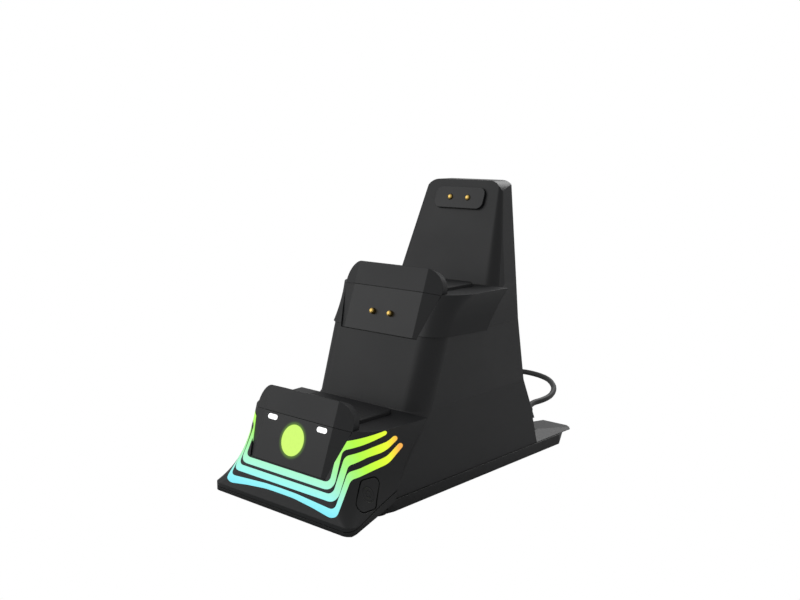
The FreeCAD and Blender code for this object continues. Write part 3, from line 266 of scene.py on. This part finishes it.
# Light strips. Frosted guides glow cyan low in front, green over the shoulder and yellow to orange
# where they end at the rear of the step, so the colour follows depth plus a share of the height. The
# plastic itself is nearly black, here and in the lamps, so that the glow alone gives the colour.
glow = bpy.data.materials.new("frosted_light_guide")
glow.use_nodes = True
tree = glow.node_tree
shader = tree.nodes["Principled BSDF"]
place = add(tree, "TexCoord")
split = add(tree, "SeparateXYZ", [(place.outputs["Object"], "Vector")])
HEIGHT_SHARE = 0.25
depth = add(tree, "Math", [(split.outputs["Z"], 0), (split.outputs["Y"], 2)], operation="MULTIPLY_ADD")
depth.inputs[1].default_value = HEIGHT_SHARE
along = add(tree, "MapRange", [(depth.outputs[0], "Value")], From_Min=-0.07075, From_Max=-0.03575)
ramp = add(tree, "ValToRGB", [(along.outputs[0], "Fac")])
stops = [(0.0, "76E8FF"), (0.1, "98F8F6"), (0.18, "A8F8D8"), (0.28, "A6F8AC"), (0.38, "AAFA7C"),
         (0.52, "B6FE48"), (0.68, "D2FF34"), (0.84, "EEFF30"), (0.92, "FFE23A"), (1.0, "FFB650")]
for position, code in stops[1:-1]:
    ramp.color_ramp.elements.new(position)
for element, (position, code) in zip(ramp.color_ramp.elements, stops):
    element.position = position
    element.color = srgb(code)
frost = add(tree, "TexNoise", [(place.outputs["Object"], "Vector")], Scale=900.0, Detail=2.0)
milky = add(tree, "MapRange", [(frost.outputs["Fac"], "Value")], To_Min=0.94, To_Max=1.04)
tree.links.new(ramp.outputs["Color"], shader.inputs["Emission Color"])
tree.links.new(milky.outputs[0], shader.inputs["Emission Strength"])
frosted = add(tree, "Bump", [(frost.outputs["Fac"], "Height")], Strength=0.3, Distance=0.00005)
tree.links.new(frosted.outputs[0], shader.inputs["Normal"])
shader.inputs["Base Color"].default_value = srgb("0C0E0E")
shader.inputs["Roughness"].default_value = 0.4
paint(glow, "light_strip_top", "light_strip_middle", "light_strip_bottom")

# Status lamps and the round mark shine through the smoked panel. Each is a little milky inside.
for name, code, strength, targets in (
        ("white_light_guide", "FFFFFF", 1.4, ("status_lens_left", "status_lens_right")),
        ("green_light_guide", "CDF867", 1.0, ("mark_lens",)),
        ("lamp_resin", "FFF6C8", 0.4, ("board_lamps",))):
    guide = bpy.data.materials.new(name)
    guide.use_nodes = True
    tree = guide.node_tree
    shader = tree.nodes["Principled BSDF"]
    shader.inputs["Base Color"].default_value = srgb("0C0E0E")
    shader.inputs["Roughness"].default_value = 0.35
    shader.inputs["Emission Color"].default_value = srgb(code)
    place = add(tree, "TexCoord")
    frost = add(tree, "TexNoise", [(place.outputs["Object"], "Vector")], Scale=900.0, Detail=2.0)
    milky = add(tree, "MapRange", [(frost.outputs["Fac"], "Value")],
                To_Min=strength * 0.95, To_Max=strength * 1.05)
    tree.links.new(milky.outputs[0], shader.inputs["Emission Strength"])
    paint(guide, *targets)

# Front panel. A faint glow of the mark's light is painted on the smoked plastic as emission,
# which fades out within two millimetres of the mark's edge.
OUTWARD = np.array([0.0, -0.938, 0.347])
glow_painted_panel = plastic("smoked_polycarbonate_painted_glow", "131416", 0.42, 0.0002, 0.08)
tree = glow_painted_panel.node_tree
shader = tree.nodes["Principled BSDF"]
corners = np.array([vertex.co[:] for vertex in nodes["mark_lens"].data.vertices])
face = corners[corners @ OUTWARD > (corners @ OUTWARD).max() - 0.0002]
place = add(tree, "TexCoord")
reach = add(tree, "VectorMath", [(place.outputs["Object"], 0)], operation="DISTANCE")
reach.inputs[1].default_value = (face.min(axis=0) + face.max(axis=0)) / 2
fade = add(tree, "MapRange", [(reach.outputs["Value"], "Value")], interpolation_type="SMOOTHERSTEP",
           From_Min=0.0054, From_Max=0.0072, To_Min=0.22, To_Max=0.0)
# Painted glow: the panel emits the mark's green light, strongest at the mark and gone 7.2 mm from its
# centre.
shader.inputs["Emission Color"].default_value = srgb("9CE23A")
tree.links.new(fade.outputs[0], shader.inputs["Emission Strength"])
paint(glow_painted_panel, "front_panel")

# Metals and boards. The boards show copper tracks faintly under the green lacquer.
for name, code, rough, targets in (
        ("plated_steel", "C4C6C8", 0.28, ("base_screws", "usb_inlet", "cord_plug_shell", "far_plug_shell")),
        ("gold_plate", "E2BE6A", 0.25, ("contact_pin_front_left", "contact_pin_front_right",
                                        "contact_pin_rear_left", "contact_pin_rear_right",
                                        "pin_barrels_front", "pin_barrels_rear"))):
    metal = plastic(name, code, rough, 0.0003, 0.1, edge=0.0001)
    metal.node_tree.nodes["Principled BSDF"].inputs["Metallic"].default_value = 1.0
    paint(metal, *targets)
board = plastic("solder_resist", "1D4A33", 0.35, 0.0004, 0.2, edge=0.0001)
tracks = raise_pattern(board, "TexVoronoi", "Distance", 0.00004, Scale=260.0)
tracks.distance = "CHEBYCHEV"
paint(board, "main_board", "light_board", "button_board", "contact_board_front", "contact_board_rear")

scene.view_settings.view_transform = "Standard"
